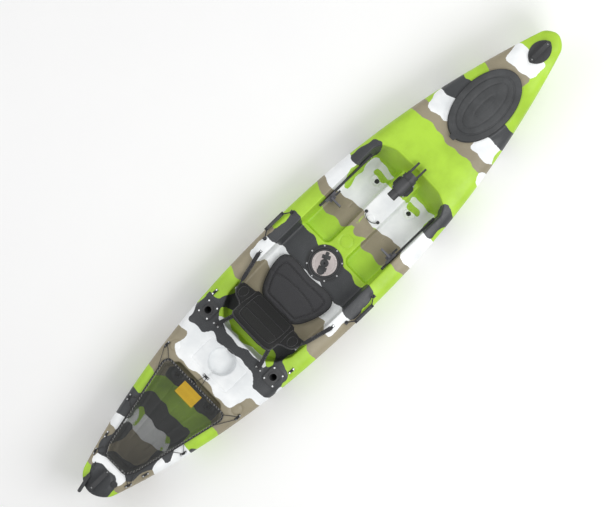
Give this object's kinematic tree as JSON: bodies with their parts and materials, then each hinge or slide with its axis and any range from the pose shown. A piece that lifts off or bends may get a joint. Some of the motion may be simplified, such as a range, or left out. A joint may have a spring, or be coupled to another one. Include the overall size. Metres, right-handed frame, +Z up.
{
  "type": "kayak",
  "caption": "Sit-on-top fishing kayak in camouflage plastic with a folding seat, foot braces, hatches, rod holders, grab handles and a netted tankwell.",
  "frame": {"origin": "on the flat keel face, amidships and on the centre line", "axes": "+X towards the bow, +Y to port, +Z up"},
  "size_m": [3.8726, 0.7788, 0.6103],
  "materials": {
    "shell_plastic": "rotomoulded polyethylene in a lime, white, khaki and black camouflage",
    "closed_foam": "closed-cell foam pillars",
    "lid_plastic": "moulded, fine grain",
    "black_plastic": "glass-filled nylon, fine grain",
    "grey_plastic": "moulded, satin",
    "seal_rubber": "soft sealing rubber",
    "seat_fabric": "woven polyester over foam",
    "webbing": "woven webbing",
    "cord": "braided shock cord",
    "mesh_fabric": "open-weave net",
    "hem_fabric": "sewn webbing hem",
    "patch_fabric": "sewn patch",
    "stainless": "stainless steel"
  },
  "bodies": {
    "hull": {"bow_handle": "black_plastic", "bow_handle_plate": "black_plastic", "bow_hatch_gasket": "seal_rubber", "bow_hatch_rim": "black_plastic", "centre_hatch_ring": "black_plastic", "centre_hatch_screws": "stainless", "deck": "shell_plastic", "deck_padeyes": "black_plastic", "drain_housing": "black_plastic", "foam_blocks": "closed_foam", "foot_rail_left": "black_plastic", "foot_rail_right": "black_plastic", "foot_rail_screws": "stainless", "handle_bolts": "stainless", "hull_bottom": "shell_plastic", "keeper_cord": "cord", "keeper_eyelets": "black_plastic", "mesh_cords": "cord", "mesh_hem": "hem_fabric", "mesh_patch": "patch_fabric", "padeye_screws": "stainless", "rod_holder_base": "black_plastic", "rod_holder_screws": "stainless", "rod_tube_left": "black_plastic", "rod_tube_right": "black_plastic", "rod_tube_screws": "stainless", "seat_cushion": "seat_fabric", "seat_front_strap_left": "webbing", "seat_front_strap_right": "webbing", "seat_rear_strap_left": "webbing", "seat_rear_strap_right": "webbing", "side_handle_lugs": "black_plastic", "side_handle_screws": "stainless", "stern_handle": "black_plastic", "stern_toggle": "black_plastic", "stern_toggle_loop": "cord", "tankwell_mesh": "mesh_fabric"},
    "bow_lid": {"bow_hatch_lid": "lid_plastic"},
    "centre_seal": {"centre_hatch_seal": "seal_rubber"},
    "centre_lid": {"centre_hatch_lid": "grey_plastic"},
    "pedal_left": {"foot_pedal_left": "grey_plastic"},
    "pedal_right": {"foot_pedal_right": "grey_plastic"},
    "trigger_left": {"pedal_trigger_left": "black_plastic"},
    "trigger_right": {"pedal_trigger_right": "black_plastic"},
    "seat_back": {"seat_back": "seat_fabric", "seat_buckles": "stainless"},
    "holder_swivel": {"rod_holder_swivel": "black_plastic", "rod_holder_bolt": "stainless"},
    "holder_cradle": {"rod_holder_cradle": "black_plastic"},
    "holder_ring": {"rod_holder_ring": "black_plastic"},
    "holder_knob": {"rod_holder_knob": "black_plastic"},
    "drain_plug": {"drain_plug": "black_plastic"},
    "handle_left": {"side_handle_strap_left": "webbing", "side_handle_grip_left": "black_plastic"},
    "handle_right": {"side_handle_strap_right": "webbing", "side_handle_grip_right": "black_plastic"}
  },
  "joints": [
    {"name": "bow_hatch_lift", "type": "slide", "parent": "hull", "child": "bow_lid", "axis": [-0.0578, 0, 0.9983], "range_m": [0, 0.15]},
    {"name": "centre_hatch_lift", "type": "slide", "parent": "hull", "child": "centre_seal", "axis": [0, 0, 1], "range_m": [0, 0.05]},
    {"name": "centre_hatch_turn", "type": "hinge", "parent": "centre_seal", "child": "centre_lid", "pos_m": [0.005, 0, 0.15], "axis": [0, 0, 1], "range_deg": [0, 90]},
    {"name": "left_pedal_slide", "type": "slide", "parent": "hull", "child": "pedal_left", "axis": [1, 0, 0], "range_m": [-0.02, 0.27]},
    {"name": "right_pedal_slide", "type": "slide", "parent": "hull", "child": "pedal_right", "axis": [1, 0, 0], "range_m": [-0.02, 0.27]},
    {"name": "left_pedal_trigger", "type": "hinge", "parent": "pedal_left", "child": "trigger_left", "pos_m": [0.331, 0.24, 0.215], "axis": [0, 1, 0], "range_deg": [0, 10], "stiffness_Nm_per_rad": 0.06, "springref_deg": -17.19},
    {"name": "right_pedal_trigger", "type": "hinge", "parent": "pedal_right", "child": "trigger_right", "pos_m": [0.331, -0.24, 0.215], "axis": [0, 1, 0], "range_deg": [0, 10], "stiffness_Nm_per_rad": 0.06, "springref_deg": -17.19},
    {"name": "seat_back_fold", "type": "hinge", "parent": "hull", "child": "seat_back", "pos_m": [-0.402, 0, 0.208], "axis": [0, 1, 0], "range_deg": [0, 110], "deforming": ["seat_front_strap_left", "seat_front_strap_right", "seat_rear_strap_left", "seat_rear_strap_right"]},
    {"name": "rod_holder_turn", "type": "hinge", "parent": "hull", "child": "holder_swivel", "pos_m": [0.655, 0, 0.25], "axis": [0, 0, 1], "range_deg": [-100, 100]},
    {"name": "rod_holder_tilt", "type": "hinge", "parent": "holder_swivel", "child": "holder_cradle", "pos_m": [0.655, 0, 0.296], "axis": [0, -1, 0], "range_deg": [0, 50]},
    {"name": "rod_holder_lock", "type": "hinge", "parent": "holder_cradle", "child": "holder_ring", "pos_m": [0.655, 0, 0.358], "axis": [1, 0, 0], "range_deg": [0, 180]},
    {"name": "rod_holder_clamp", "type": "hinge", "parent": "holder_swivel", "child": "holder_knob", "pos_m": [0.655, 0, 0.296], "axis": [0, 1, 0], "continuous": true},
    {"name": "drain_plug_turn", "type": "hinge", "parent": "hull", "child": "drain_plug", "pos_m": [-1.77985, -0.07827, 0.35483], "axis": [0.05, -0.0911, 0.9946], "range_deg": [0, 360]},
    {"name": "left_handle_swing", "type": "hinge", "parent": "hull", "child": "handle_left", "pos_m": [-0.03506, 0.34906, 0.2981], "axis": [1, 0.0016, 0.0035], "range_deg": [0, 110]},
    {"name": "right_handle_swing", "type": "hinge", "parent": "hull", "child": "handle_right", "pos_m": [-0.03506, -0.34906, 0.2981], "axis": [-1, 0.0016, -0.0035], "range_deg": [0, 110]}
  ]
}
